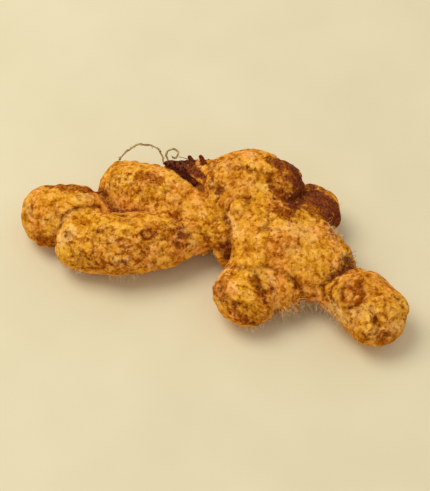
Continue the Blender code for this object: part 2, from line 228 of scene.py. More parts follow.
# Narrow creases that are too fine for the solid, as (points, half width, depth, darkness). The
# darkness is dirt and painted shade in the crease.
FINE_CREASES = (
    (((22, 22, 38), (27, 15, 34), (27, 5, 35)), 0.9, 0.35, 0.7),
    (((38, 20, 31), (39, 17, 26), (32, 3, 34)), 1.0, 0.3, 0.8),
    (((6, 10, 28), (7, 12, 32), (13, 13, 34), (17, 11, 34)), 0.9, 0.55, 0.9),
    (((9, 6, 32), (13, 8, 34), (15, 10, 34)), 0.7, 0.35, 0.6),
    (((20, -3, 32), (25, 1, 34), (31, 3, 34)), 0.9, 0.35, 0.6),
    (((8, -17, 24), (16, -20, 27), (21, -18, 26)), 1.3, 0.45, 0.5),
    (((17, -21, 26), (20, -28, 24), (22, -33, 20)), 1.2, 0.7, 1.0),
    (((22, -17, 25), (28, -20, 24), (34, -22, 22)), 0.9, 0.5, 0.8),
    (((30, -22, 23), (37, -24, 19), (38, -26, 15)), 0.9, 0.5, 0.7),
    (((35, -21, 21), (35, -25, 19)), 0.9, 0.5, 0.9),
    (((47, -28, 18), (46, -25, 20), (51, -22, 23), (55, -19, 23)), 1.3, 0.6, 0.9),
    (
        ((52, -25, 24), (49, -29, 20), (53, -35, 19), (59, -38, 24), (63, -34, 28), (62, -27, 27)),
        0.9,
        0.5,
        0.8,
    ),
    (((55, -33, 23), (54, -29, 25), (57, -28, 26), (60, -31, 26), (58, -35, 25)), 0.7, 0.45, 0.9),
    (((67, -39, 25), (68, -44, 23), (66, -47, 20)), 0.9, 0.45, 0.8),
    (((72, -36, 26), (72, -42, 25)), 0.9, 0.4, 0.5),
    (((2, -23, 21), (6, -32, 22), (10, -35, 20)), 1.0, 0.35, 0.6),
    (((-69, 5, 22), (-67, 9, 25), (-60, 13, 26), (-50, 16, 23), (-39, 8, 26)), 1.0, 0.45, 1.0),
    (((-49, 26, 23), (-50, 23, 20), (-48, 18, 20)), 0.9, 0.4, 0.7),
    (((-32, -1, 26), (-31, -4, 26), (-28, -4, 26), (-27, -2, 26), (-29, 0, 26)), 0.8, 0.4, 1.0),
    (((-3, 33, 31), (-1, 24, 33), (3, 18, 31)), 0.8, 0.35, 0.6),
    (((8, 36, 35), (12, 27, 38), (19, 20, 37)), 0.8, 0.3, 0.5),
    (((6, 27, 37), (14, 25, 38), (22, 22, 38)), 0.8, 0.3, 0.6),
)
CREASE_WOBBLE = 0.5  # how far the ragged noise moves a crease's edge, in half widths

# Short folds of the skin, as (start, end, depth).
FOLDS = (
    ((35.5, -19.5, 24.0), (35.0, -27.0, 18.5), 1.0),
    ((67.0, -38.0, 24.0), (69.5, -44.0, 19.0), 1.0),
    ((6.5, -35.5, 17.0), (15.0, -38.5, 14.0), 0.9),
    ((22.4, -21.0, 25.0), (24.0, -9.0, 31.0), 0.7),
)
FOLD_WIDTH = 1.3

# The noise that makes edges ragged, as (weight, breadth, shift).
RAGGED = ((1.0, 3.2, 60.0), (0.6, 1.4, 70.0))

# How ragged, how sharp and how far out the edges of the stains and patches below are.
PATCH_RAGGEDNESS = 0.45
PATCH_SHARPNESS = 1.6
PATCH_REACH = 1.15

# Dark earthy stains on the skin, as (start, end, radius, strength). Over the crown's right end and
# the back knob they are painted shade as well, where these face away from the lamp and lie in shadow.
STAINS_AND_SHADE = (
    ((-73, 27, 22), (-62, 23, 26), 3.6, 1.0),
    ((-62, 23, 26), (-54, 26, 20), 3.2, 1.0),
    ((-76, 4, 14), (-72, 5, 8), 5.0, 0.35),
    ((-65, 0, 23), (-64, 1, 24), 0.9, 1.0),
    ((-63, -3, 22), (-62, -3, 22), 0.9, 1.0),
    ((-61, -8, 20), (-48, -13, 21), 4.0, 0.5),
    ((-58, -9, 17), (-38, -17, 14), 5.0, 0.3),
    ((-52, -2, 26), (-36, -8, 25), 6.0, 0.45),
    ((-34, -11, 22), (-26, -10, 21), 4.0, 0.4),
    ((-41, 23, 25), (-35, 20, 26), 3.0, 0.45),
    ((-33, 29, 28), (-25, 25, 29), 3.4, 0.8),
    ((-43, 27, 26), (-26, 18, 29), 6.0, 0.4),
    ((-25, -1, 27), (-16, 1, 24), 6.0, 0.6),
    ((-17, 9, 25), (-13, -1, 22), 4.0, 0.6),
    ((-6, 3, 25), (1, -2, 20), 5.0, 0.3),
    ((-12, 32, 30), (-6, 25, 31), 2.2, 1.0),
    ((-3, 21, 33), (2, 18, 31), 3.5, 0.5),
    ((6, 27, 38), (23, 23, 38), 1.8, 0.55),
    ((25, 30, 38), (33, 25, 36), 3.4, 1.0),
    ((33, 25, 36), (38, 21, 31), 5.0, 1.0),
    ((38, 21, 31), (36, 13, 29), 4.6, 1.0),
    ((36, 13, 29), (31, 3, 34), 3.2, 1.0),
    ((28, 24, 37), (31, 14, 34), 4.5, 0.75),
    ((33, 27, 36), (37, 13, 30), 6.5, 0.6),
    ((25, 5, 34), (33, 7, 33), 3.0, 0.8),
    ((24, 22, 37), (27, 13, 31), 2.5, 0.7),
    ((6, 10, 28), (15, 13, 32), 1.6, 0.8),
    ((5, -1, 20), (7, -3, 13), 2.0, 0.6),
    ((42, 20, 25), (49, 13, 23), 10.0, 1.0),
    ((44, 11, 25), (54, 11, 13), 9.0, 1.0),
    ((20, -3, 31), (27, -3, 32), 1.5, 0.5),
    ((48, 3, 27), (53, -4, 26), 2.0, 0.6),
    ((55, -13, 25), (59, -14, 21), 2.3, 0.65),
    ((41, -22, 18), (55, -19, 23), 3.5, 0.45),
    ((37, -26, 16), (45, -23, 14), 3.0, 0.25),
    ((1, -27, 20), (4, -33, 19), 3.0, 0.55),
    ((8, -36, 18), (13, -39, 13), 3.0, 0.8),
    ((16, -25, 26), (20, -30, 22), 2.4, 0.8),
    ((18, -24, 25), (22, -35, 15), 2.0, 0.7),
    ((13, -35, 19), (21, -37, 11), 4.0, 0.45),
    ((9, -34, 20), (10, -34, 20), 1.6, 1.0),
    ((60, -25, 27), (63, -36, 27), 1.6, 0.6),
    ((49, -29, 19), (52, -35, 17), 3.0, 0.45),
    ((65, -47, 18), (75, -47, 14), 4.0, 0.45),
    ((66, -41, 25), (69, -46, 19), 1.8, 0.7),
    ((77, -32, 23), (79, -39, 17), 2.5, 0.4),
)

# Dark red patches: the bud in the waist and small spots, darker red skin with painted shade over the
# crown's right end, and painted shadow over the back knob.
RED_STAINS_AND_SHADE = (
    ((3, -2, 17), (6, -3, 10), 3.6, 0.65),
    ((6, -2, 18), (8, -3, 12), 1.8, 1.0),
    ((-14, 33, 28), (-7, 26, 31), 1.8, 1.2),
    ((44, 20, 24), (53, 14, 16), 8.5, 1.0),
    ((31, 29, 34), (38, 19, 29), 6.5, 1.15),
    ((38, 19, 29), (34, 10, 31), 4.5, 1.1),
    ((28, 30, 36), (33, 26, 35), 3.5, 1.0),
    ((-3, 21, 33), (2, 18, 31), 3.5, 0.45),
    ((-15, 1, 26), (-15, -5, 23), 1.8, 0.9),
    ((-44, -13, 23), (-39, -13, 22), 3.2, 0.5),
    ((-46, -14, 21), (-45, -15, 20), 1.1, 1.1),
    ((-40, -13, 22), (-39, -14, 21), 1.1, 1.1),
    ((-43, -11, 24), (-41, -11, 24), 0.8, 1.1),
    ((58, -43, 16), (63, -47, 13), 3.0, 0.35),
)

# Pale worn patches, in the same form. Those on the left ends and left edges of the fingers, which
# face the lamp, are painted highlights.
PALE_PATCHES_AND_HIGHLIGHTS = (
    ((-83, 19, 20), (-81, 14, 20), 3.5, 0.6),
    ((-76, 8, 21), (-69, 10, 25), 2.5, 0.45),
    ((-62, 17, 26), (-55, 20, 25), 3.0, 0.5),
    ((-67, 7, 22), (-63, 9, 23), 3.0, 0.5),
    ((-67, -1, 20), (-63, 0, 24), 3.8, 1.0),
    ((-49, 26, 21), (-44, 28, 25), 4.0, 0.35),
    ((-13, 2, 25), (-10, -2, 19), 2.5, 0.5),
    ((-18, 17, 27), (-16, 14, 27), 4.0, 0.35),
    ((-1, 30, 35), (3, 30, 37), 4.0, 0.4),
    ((5, 8, 28), (9, -2, 27), 2.2, 0.9),
    ((32, -10, 29), (36, -13, 27), 5.0, 0.35),
    ((2, -22, 18), (5, -16, 21), 3.0, 0.6),
    ((51, -33, 18), (56, -42, 16), 3.5, 0.7),
    ((58, -40, 21), (66, -40, 25), 4.0, 0.55),
    ((12, 20, 34), (25, 17, 35), 2.5, 0.45),
    ((23, -21, 22), (26, -29, 13), 3.0, 0.6),
    ((74, -43, 18), (79, -40, 15), 3.0, 0.6),
    ((40, -6, 31), (33, -2, 34), 4.5, 0.5),
    ((-44, -13, 23), (-42, -14, 22), 1.8, 0.6),
)

# The dried stump of a shoot: tapering strands from a broad base to a ragged point.
STUMP_BASE = (-4.0, 32.0, 25.5)
STUMP_POINT = (-24.5, 41.0, 22.0)
STUMP_STRANDS = 11
STUMP_SPREAD = 5.0  # how far the strands' bases stand from each other
STRAND_RADII = (2.2, 1.9, 1.3, 0.5)
SHORTEST_STRAND = 0.6  # as a share of the way to the point
DRY_SLANT = 0.55  # the stump is nearly black where x plus this times y is under the edge
DRY_BACK = 34.0  # past this y the edge turns the other way, so that the back is dry too
DRY_BACK_SLANT = 1.5
DRY_EDGE = 4.3
DRY_FADE = 3.0
STUMP_UNEVENNESS = (0.5, 1.6)  # how uneven a strand's radius is, and how broad its swellings
STUMP_SIDES = 6
STUMP_FIBRES = 36
FIBRE_RADIUS = 0.25
FIBRE_TAPER = 0.09  # the share of the radius that each row loses
FIBRE_ROWS = 8
FIBRE_ENDS = (2, 4)  # a fibre leaves its strand at least so many rows from the two ends
FIBRE_DRIFT = 0.22
FIBRE_LIFT = (-0.4, 1)

# Two dry horns above the stump, as rows of x, y, z, radius.
HORNS = (
    ((-9.5, 33.0, 26.5, 2.4), (-10.5, 35.6, 29.8, 1.7), (-11.8, 37.0, 31.8, 0.6)),
    ((-4.5, 32.5, 28.5, 2.0), (-5.6, 34.8, 31.6, 1.3), (-6.8, 36.0, 33.4, 0.5)),
)

# Two wiry rootlets that curl up from the stump. One arches over the left_back finger.
CURLS = (
    (
        (-18.0, 37.5, 20.5),
        (-22.7, 40.5, 21.0),
        (-24.2, 43.2, 23.0),
        (-25.6, 45.8, 25.0),
        (-29.3, 46.6, 27.0),
        (-33.1, 46.8, 27.5),
        (-36.8, 46.0, 27.0),
        (-39.7, 44.6, 25.0),
        (-42.2, 43.8, 23.0),
        (-43.6, 42.5, 21.5),
    ),
    (
        (-16.5, 38.0, 20.5),
        (-20.8, 40.9, 22.0),
        (-22.0, 43.6, 24.0),
        (-20.3, 45.2, 25.5),
        (-18.0, 45.0, 26.0),
        (-16.5, 43.3, 25.5),
        (-17.5, 41.7, 24.5),
        (-19.4, 42.4, 24.0),
    ),
)
CURL_RADIUS = 0.5
CURL_SPAN = 8  # rows from one point to the next
CURL_WOBBLE = 0.5
CURL_WOBBLE_BREADTH = 2.2
CURL_WOBBLE_SHIFT = 9.0
CURL_THICKNESS = 0.8  # the usual share of the radius, which grows at knots
KNOT_GROWTH = 0.5
KNOT_BREADTH = 1.5
KNOT_SHIFT = 40.0
THINNEST_NECK = -0.3
CURL_SIDES = 6
FIRST_SIDE_HAIR = 10  # the first row with a side hair, and the rows from one to the next
SIDE_HAIR_STEP = 7
SIDE_HAIR_LENGTH = 1.8
SIDE_HAIR_RADIUS = 0.2
SIDE_HAIR_TAPER = 0.1
SIDE_HAIR_SHARES = (0, 0.5, 1)

# Short broken roots, which stand out low on the sides.
ROOTS = 16
ROOT_LENGTHS = (1.0, 2.6)
ROOT_RADII = (1.2, 1.0, 0.45)
ROOT_DEPTH = 3.5  # how deep each is rooted under the skin
ROOT_LEVEL = (2.5, 8.0)
ROOT_SLOPE = (-1.2, -0.3)
ROOT_BEND = 0.2
ROOT_SAG = 0.6
ROOT_ELBOW = 0.4
LOWEST_ROOT_TIP = 1.2
STEPS_OUTWARDS = 30  # steps that find the skin from a finger's axis
ROOT_UNEVENNESS = (0.35, 1.2)
ROOT_SIDES = 8

# How strands and roots are made uneven: rows from one station to the next, and a noise shift.
UNEVEN_SPAN = 5
UNEVEN_SHIFT = 3.0

# Tufts of fine root hairs, as (middle, reach, number of hairs, length).
PALE_TUFTS = (
    ((31.0, -27.0, 8.0), 8.0, 190, 5.5),
    ((44.0, -22.0, 8.0), 7.0, 130, 5.0),
    ((-40.0, -13.0, 5.0), 8.0, 90, 4.0),
    ((-62.0, -6.0, 8.0), 7.0, 50, 3.0),
    ((51.0, 0.0, 25.0), 5.0, 50, 3.0),
    ((52.0, -34.0, 14.0), 6.0, 80, 3.5),
    ((18.0, -36.0, 6.0), 7.0, 60, 3.5),
    ((0.0, 41.0, 12.0), 12.0, 60, 4.0),
    ((50.0, 26.0, 8.0), 8.0, 50, 4.0),
    ((-60.0, 30.0, 8.0), 9.0, 50, 3.5),
)
DARK_TUFTS = (
    ((57.0, -14.0, 23.0), 4.0, 70, 4.5),
    ((52.0, -21.0, 23.0), 3.5, 40, 2.5),
    ((-9.0, 34.0, 30.0), 3.0, 40, 3.0),
)
HAIR_RADIUS = 0.1
HAIR_TAPER = 0.1  # the share of the radius that each step loses
HAIR_STEPS = 6
HAIR_LENGTHS = (0.5, 1.2)  # as shares of its tuft's length
HAIR_DEPTH = 0.3  # how deep a hair is rooted under the skin
HAIR_SPREAD = 0.7  # how far its way strays from straight outwards
HAIR_WANDER = 0.35  # how far its way turns at each step
HAIR_DROOP = 0.12
HAIR_MARGIN = 0.2  # hairs end this far inside the solid's box
HAIR_SIDES = 3

# Grain of the rough form and of the finished skin. A nose's angles are in degrees.
ROUGH_VOXEL = 1.25
FINE_VOXEL = 0.66
FINGER_SIDES = 16
NOSE_ANGLES = (20, 40, 60, 78)
STEEPEST = 0.9  # a tube that starts steeper than this takes its first side from x
RELIEF_MIDDLE = 0.5  # the relief mark's value where the fine relief is nought

# Colours, as linear red, green and blue.
DARK_BROWN = (0.130, 0.020, 0.002)
DEEP_BROWN = (0.31, 0.063, 0.003)
OCHRE_BROWN = (0.50, 0.155, 0.006)
OCHRE = (0.73, 0.290, 0.020)
GOLD = (0.90, 0.410, 0.050)
LIGHT_GOLD = (1.0, 0.55, 0.13)
# Pale worn skin, also used for painted highlights and glints.
PALE_SKIN_AND_HIGHLIGHT = (1.0, 0.59, 0.16)
DARK_RED = (0.090, 0.014, 0.007)
YELLOW_TINT = (1.0, 1.06, 0.80)
ROSY_TINT = (1.0, 0.90, 1.30)
REDDISH = (0.21, 0.052, 0.024)
NEAR_BLACK = (0.020, 0.006, 0.002)
ROOTLET_TONES = ((0.22, 0.13, 0.045), (0.55, 0.38, 0.16))
ROOT_HAIR_TONES = ((0.55, 0.33, 0.11), (0.92, 0.70, 0.38))

# Colour ramps, as (place on the ramp, colour).
SKIN_TONES = (
    (0.415, DEEP_BROWN),
    (0.45, OCHRE_BROWN),
    (0.492, OCHRE),
    (0.54, GOLD),
    (0.60, LIGHT_GOLD),
)
STUMP_TIP_TONES = ((0.38, NEAR_BLACK), (0.50, DARK_RED), (0.62, DARK_BROWN))
STUMP_BASE_TONES = ((0.38, DARK_RED), (0.48, DARK_BROWN), (0.60, DEEP_BROWN))
FLOOR_TONES = ((0.3, (0.73, 0.645, 0.41)), (0.7, (0.78, 0.695, 0.455)))
DULL = 0.1  # the specular level of the dry stump and the rootlets

# The studio, in metres and watts.
FLOOR_REACH = 2.0
FLOOR_DROP = 0.0002  # keeps the floor clear of the flats that the root rests on
SKY_COLOUR = (1.0, 0.985, 0.95, 1)
SKY_STRENGTH = 0.62
LAMP_COLOUR = (1.0, 0.98, 0.94)
LAMP_POWER = 6.2
LAMP_BREADTH = 0.7
LAMP_PLACE = (-0.42, 0.15, 1.0)
CAMERA_NEAR = 0.01

# The photograph's camera: its height above the floor as an angle, and how far off it stands.
CAMERA_ELEVATION = 56.0
CAMERA_DISTANCE = 700.0
CAMERA_TARGET = (0.0, 0.0, 15.0)
CAMERA_LENS = 116.0


def smooth_axis(stations, per_span=6):
    """Rows along a smooth curve through the stations."""
    points = np.array(stations, float)
    padded = np.vstack([2 * points[0] - points[1], points, 2 * points[-1] - points[-2]])
    rows = []
    for before, start, end, after in zip(padded, padded[1:], padded[2:], padded[3:]):
        for t in np.linspace(0, 1, per_span, endpoint=False):
            rows.append(
                start
                + 0.5 * t * (end - before)
                + t**2 * (before - 2.5 * start + 2 * end - 0.5 * after)
                + t**3 * (1.5 * (start - end) + 0.5 * (after - before))
            )
    rows.append(points[-1])
    return np.array(rows)


def read_finger(points, axis):
    """How far points lie outside a finger, the ways outwards, and their distances from its tip."""
    gap = np.full(len(points), np.inf)
    outward = np.zeros_like(points)
    along = np.zeros(len(points))
    travelled = axis[0, 3]
    for number, (start, end) in enumerate(zip(axis, axis[1:])):
        run = end[:3] - start[:3]
        length = np.linalg.norm(run)
        share = (points - start[:3]) @ run / length**2
        held = np.clip(share, 0, 1)
        offset = points - start[:3] - held[:, None] * run
        offset[:, 2] /= SECTION_HEIGHT
        reach = np.maximum(np.linalg.norm(offset, axis=1), SHORTEST_REACH)
        here = reach - (start[3] + held * (end[3] - start[3]))
        nearer = here < gap
        gap[nearer] = here[nearer]
        outward[nearer] = (offset / reach[:, None])[nearer]
        passed = share if number == 0 else held
        along[nearer] = (travelled + np.minimum(passed, 1) * length)[nearer]
        travelled += length
    return gap, outward, along


def read_skin(points, fingers):
    """The gap to the skin that all fingers share, the ways outwards, each finger's part in it,
    the distances from the fingers' tips, and how creased the skin is from 0 to 1."""
    readings = [read_finger(points, axis) for axis in fingers]
    gaps = np.array([reading[0] for reading in readings])
    nearest = gaps.min(axis=0)
    shares = np.exp((nearest - gaps) / CREASE)
    total = shares.sum(axis=0)
    shares /= total
    outward = sum(share[:, None] * reading[1] for share, reading in zip(shares, readings))
    length = np.linalg.norm(outward, axis=1)
    outward /= np.maximum(length, SHORTEST_WAY)[:, None]
    alongs = np.array([reading[2] for reading in readings])
    creased = np.clip(CREASE_GAIN * (1 - length**2), 0, 1)
    return nearest - CREASE * np.log(total), outward, shares, alongs, creased


def pull_to_skin(points, fingers):
    """The points, moved onto the smooth form that all the fingers share."""
    for _ in range(PULLS):
        gap, outward, _, _, _ = read_skin(points, fingers)
        points = points - gap[:, None] * outward
    return points


def noise_at(points, breadth, offset=0.0):
    """Smooth noise from about -1 to 1, with lumps of that breadth."""
    shift = Vector((offset, -offset, 0.5 * offset))
    return np.array([noise.noise(Vector(point) / breadth + shift) for point in points])


def any_way(rng):
    """A draw from -1 to 1 on each axis."""
    return np.array([rng.uniform(-1, 1) for _ in range(3)])


def ring_places(axis, rng):
    """Distances from the tip to each ring, further apart as they leave the tip."""
    length = axis[0, 3] + np.linalg.norm(np.diff(axis[:, :3], axis=0), axis=1).sum()
    places, step = [FIRST_RING], RING_STEP
    while places[-1] < length:
        places.append(places[-1] + step * (1 + rng.uniform(-RING_UNEVENNESS, RING_UNEVENNESS)))
        step = min(step * RING_GROWTH, LONGEST_RING_STEP)
    return np.array(places)


def ring_relief(points, along, axis, rng):
    """Height of a finger's rings, a mark that is 1 on each ring, and distances in step with them."""
    places = ring_places(axis, rng)
    lean = any_way(rng)
    lean *= RING_TILT / np.linalg.norm(lean)
    middle = axis[:, :3].mean(axis=0)
    wander = RING_WANDER * noise_at(points, RING_WANDER_BREADTH, rng.uniform(0, NOISE_SHIFTS))
    along = along + (points - middle) @ lean + wander
    after = np.clip(np.searchsorted(places, along), 1, len(places) - 1)
    low, high = places[after - 1], places[after]
    share = np.clip((along - low) / (high - low), 0, 1)
    off = np.minimum(np.abs(along - low), np.abs(along - high))
    fade = noise_at(points, RING_FADE_BREADTH, rng.uniform(0, NOISE_SHIFTS))
    fade = np.clip(RING_FADE + RING_FADE_REACH * fade, FAINTEST_RING, 1)
    lip = RING_LIP * np.exp(-((off / RING_LIP_WIDTH) ** 2)) * fade
    line = np.exp(-((off / RING_LINE_WIDTH) ** 2)) * fade
    return lip + RING_SWELL * (np.sin(math.pi * share) - SWELL_LEVEL), line, along


def scar_relief(points, fingers):
    """Height of the round scars, and a mark that is 1 along the inner edges of their rims."""
    height = np.zeros(len(points))
    mark = np.zeros(len(points))
    wobble = SCAR_WOBBLE * noise_at(points, SCAR_WOBBLE_BREADTH)
    scars = np.array(SCARS)
    middles = pull_to_skin(scars[:, :3], fingers)
    for middle, (radius, rim_height, middle_height) in zip(middles, scars[:, 3:]):
        reach = np.linalg.norm(points - middle, axis=1) / radius + wobble
        height += rim_height * np.exp(-(((reach - 1) / RIM_SHARE) ** 2))
        height += middle_height * np.exp(-((reach / MIDDLE_SHARE) ** 4))
        if middle_height < 0:
            edge = np.exp(-(((reach - SCAR_EDGE) / SCAR_EDGE_WIDTH) ** 2))
            hollow = min(-middle_height, 1) * np.exp(-((reach / MIDDLE_SHARE) ** 4))
            mark = np.maximum(mark, np.maximum(edge, hollow))
    return height, mark


def distance_to_run(points, start, end):
    """Distances from points to a straight run."""
    run = end - start
    share = np.clip((points - start) @ run / (run @ run), 0, 1)
    return np.linalg.norm(points - start - share[:, None] * run, axis=1)


def fold_relief(points, fingers):
    """Depth of the short folds, as a negative height that fades out at their ends."""
    height = np.zeros(len(points))
    for start, end, depth in FOLDS:
        start, end = pull_to_skin(np.array((start, end)), fingers)
        height -= depth * np.exp(-((distance_to_run(points, start, end) / FOLD_WIDTH) ** 2))
    return height


def fine_creases(points, fingers, ragged):
    """Depth of the narrow creases as a negative height, and a mark of dirt and painted shade that is
    1 along the darkest.
    """
    height = np.zeros(len(points))
    mark = np.zeros(len(points))
    for stations, half_width, depth, darkness in FINE_CREASES:
        line = pull_to_skin(np.array(stations, float), fingers)
        away = np.min([distance_to_run(points, *ends) for ends in zip(line, line[1:])], axis=0)
        reach = away / half_width + CREASE_WOBBLE * ragged
        shape = np.exp(-(np.maximum(reach, 0) ** 2))
        height = np.minimum(height, -depth * shape)
        mark = np.maximum(mark, darkness * shape)
    return height, mark


def patch_mark(points, fingers, patches, ragged):
    """A mark from 0 to 1 over ragged-edged patches, each (start, end, radius, strength)."""
    mark = np.zeros(len(points))
    for start, end, radius, strength in patches:
        start, end = pull_to_skin(np.array((start, end), float), fingers)
        reach = distance_to_run(points, start, end) / radius + PATCH_RAGGEDNESS * ragged
        mark = np.maximum(mark, strength * np.clip(PATCH_SHARPNESS * (PATCH_REACH - reach), 0, 1))
    return mark


def pit_mark(points):
    """A mark that is 1 in the middle of small scattered pits."""
    mark = np.zeros(len(points))
    for number, point in enumerate(points):
        distances, places = noise.voronoi(Vector(point) / PIT_SPACING)
        if noise.cell(places[0] * PIT_SHUFFLE) > PIT_SHARE:
            reach = distances[0] * PIT_SPACING / PIT_RADIUS
            mark[number] = math.exp(-(reach**2))
    return mark


def sweep(rows, sides):
    """Points and faces of a closed tube along rows of x, y, z, radius."""
    rows = np.array(rows, float)
    ways = np.gradient(rows[:, :3], axis=0)
    ways /= np.linalg.norm(ways, axis=1)[:, None]
    side = np.cross(ways[0], (0.0, 0.0, 1.0) if abs(ways[0, 2]) < STEEPEST else (1.0, 0.0, 0.0))
    turns = np.linspace(0, 2 * math.pi, sides, endpoint=False)
    points = []
    for row, way in zip(rows, ways):
        side = side - (side @ way) * way
        side /= np.linalg.norm(side)
        other = np.cross(way, side)
        ring = np.cos(turns)[:, None] * side + np.sin(turns)[:, None] * other
        points.append(row[:3] + row[3] * ring)
    faces = [tuple(range(sides))[::-1]]
    for low in range(0, sides * (len(rows) - 1), sides):
        for corner in range(sides):
            after = (corner + 1) % sides
            faces.append((low + corner, low + after, low + sides + after, low + sides + corner))
    faces.append(tuple(range(sides * (len(rows) - 1), sides * len(rows))))
    return np.vstack(points), faces


def place_in_frame(points):
    """Layout millimetres as metres in the row frame."""
    return (points - (*LAYOUT_CENTRE, 0)) * MM


def place_in_layout(points):
    """Metres in the row frame as layout millimetres."""
    return np.array(points) / MM + (*LAYOUT_CENTRE, 0)


def add_object(name, data):
    """A new object in the scene, made from a mesh, a light or a camera."""
    made = bpy.data.objects.new(name, data)
    bpy.context.scene.collection.objects.link(made)
    return made


def tube_object(name, tubes, sides):
    """One mesh object of many tubes."""
    points, faces, count = [], [], 0
    for rows in tubes:
        tube_points, tube_faces = sweep(rows, sides)
        points.append(tube_points)
        faces += [tuple(corner + count for corner in face) for face in tube_faces]
        count += len(tube_points)
    mesh = bpy.data.meshes.new(name)
    mesh.from_pydata(place_in_frame(np.vstack(points)).tolist(), [], faces)
    mesh.shade_smooth()
    return add_object(name, mesh)


def round_ended(axis):
    """The axis with the points of a rounded nose added past each end."""

    def nose(end, inner):
        way = (end[:3] - inner[:3]) / np.linalg.norm(end[:3] - inner[:3])
        return [
            np.append(end[:3] + way * end[3] * math.sin(angle), end[3] * math.cos(angle))
            for angle in np.radians(NOSE_ANGLES)
        ]

    return np.vstack([nose(axis[0], axis[1])[::-1], axis, nose(axis[-1], axis[-2])])


def remesh(piece, voxel):
    """Gives the piece one even skin, with no folds in it."""
    even = piece.modifiers.new("even_skin", "REMESH")
    even.mode = "VOXEL"
    even.voxel_size = voxel * MM
    bpy.context.view_layer.update()
    graph = bpy.context.evaluated_depsgraph_get()
    shaped = bpy.data.meshes.new_from_object(piece.evaluated_get(graph))
    piece.modifiers.clear()
    piece.data = shaped


def vertex_positions(piece):
    """The piece's points, in layout millimetres."""
    flat = np.empty(len(piece.data.vertices) * 3)
    piece.data.vertices.foreach_get("co", flat)
    return place_in_layout(flat.reshape(-1, 3))


def set_vertex_positions(piece, points):
    """Moves the piece's points to these, in layout millimetres."""
    piece.data.vertices.foreach_set("co", place_in_frame(points).ravel())
    piece.data.update()


def set_mark(piece, name, values):
    """Stores a number for each point, which the material reads."""
    mark = piece.data.attributes.new(name, "FLOAT", "POINT")
    mark.data.foreach_set("value", np.asarray(values, np.float32))


def make_skin(axes):
    """The skin of the whole root, with its marks for the material."""
    fingers = list(axes.values())
    skin = tube_object("skin", [round_ended(axis) for axis in fingers], FINGER_SIDES)
    remesh(skin, ROUGH_VOXEL)
    set_vertex_positions(skin, pull_to_skin(vertex_positions(skin), fingers))
    remesh(skin, FINE_VOXEL)
    points = pull_to_skin(vertex_positions(skin), fingers)
    _, outward, shares, alongs, creased = read_skin(points, fingers)

    rng = random.Random(SEED)
    height, scar_mark = scar_relief(points, fingers)
    height += fold_relief(points, fingers)
    ring_mark = np.zeros(len(points))
    in_step = np.zeros(len(points))
    for (name, axis), share, along in zip(axes.items(), shares, alongs):
        if name not in SLOPES:
            ring_height, line, along = ring_relief(points, along, axis, rng)
            height += share**2 * ring_height
            ring_mark += share**2 * line
        in_step += share**2 * along
    in_step /= (shares**2).sum(axis=0)
    for number, (size, breadth) in enumerate(LUMPS):
        height += size * noise_at(points, breadth, LUMP_SHIFT * number)
    height -= CREASE_DIP * creased

    fine = np.zeros(len(points))
    for number, (size, breadth) in enumerate(FINE_LUMPS):
        fine += size * noise_at(points, breadth, FINE_SHIFT * (number + 1))
    stretched = points / WRINKLE_LENGTH
    stretched[:, 0] += in_step / WRINKLE_STEP
    fine += WRINKLE * noise_at(stretched, 1.0, FINE_SHIFT)
    pits = pit_mark(points)
    fine += RING_EDGE * ring_mark - PIT_DEPTH * pits
    ragged = sum(weight * noise_at(points, breadth, shift) for weight, breadth, shift in RAGGED)
    crease_height, crease_dirt_and_shade_mark = fine_creases(points, fingers, ragged)
    fine += crease_height
    points = points + (height + fine)[:, None] * outward
    points[:, 2] = np.maximum(points[:, 2], 0.0)
    set_vertex_positions(skin, points)

    # The crease marks darken the creases in the material: dirt and painted shade.
    set_mark(skin, "crease_dirt_and_shade", creased)
    set_mark(skin, "line", crease_dirt_and_shade_mark)
    set_mark(skin, "ring", ring_mark)
    set_mark(skin, "along", in_step)
    fade = np.clip(SCAR_FADE + SCAR_FADE_REACH * ragged, FAINTEST_SCAR, 1)
    set_mark(skin, "scar", scar_mark * fade)
    set_mark(skin, "pit", pits)
    set_mark(skin, "relief", RELIEF_MIDDLE + fine)
    # The stain and red patches carry painted shade over the crown's right end and the back knob, and
    # the pale patches carry painted highlights on edges that face the lamp.
    for name, patches in (("stain_and_shade", STAINS_AND_SHADE), ("red_and_shade", RED_STAINS_AND_SHADE), ("pale_and_highlight", PALE_PATCHES_AND_HIGHLIGHTS)):
        set_mark(skin, name, patch_mark(points, fingers, patches, ragged))
    stump = list(axes).index("stump")
    across = points[:, 0] + DRY_SLANT * np.minimum(points[:, 1], DRY_BACK)
    across -= DRY_BACK_SLANT * np.maximum(points[:, 1] - DRY_BACK, 0)
    dried = np.clip((DRY_EDGE + DRY_FADE - across) / DRY_FADE, 0, 1)
    set_mark(skin, "dry", shares[stump] * dried)
    skin.data.shade_smooth()
    return skin


def stump_strands(rng):
    """Rows of x, y, z, radius for each strand of the dried stump."""
    base = np.array(STUMP_BASE)
    run = np.array(STUMP_POINT) - base
    for _ in range(STUMP_STRANDS):
        spread = STUMP_SPREAD * any_way(rng)
        reach = rng.uniform(SHORTEST_STRAND, 1)
        rows = []
        for share, radius in zip(np.linspace(0, reach, len(STRAND_RADII)), STRAND_RADII):
            rows.append((*(base + share * run + (1 - share) * spread), radius))
        yield rows


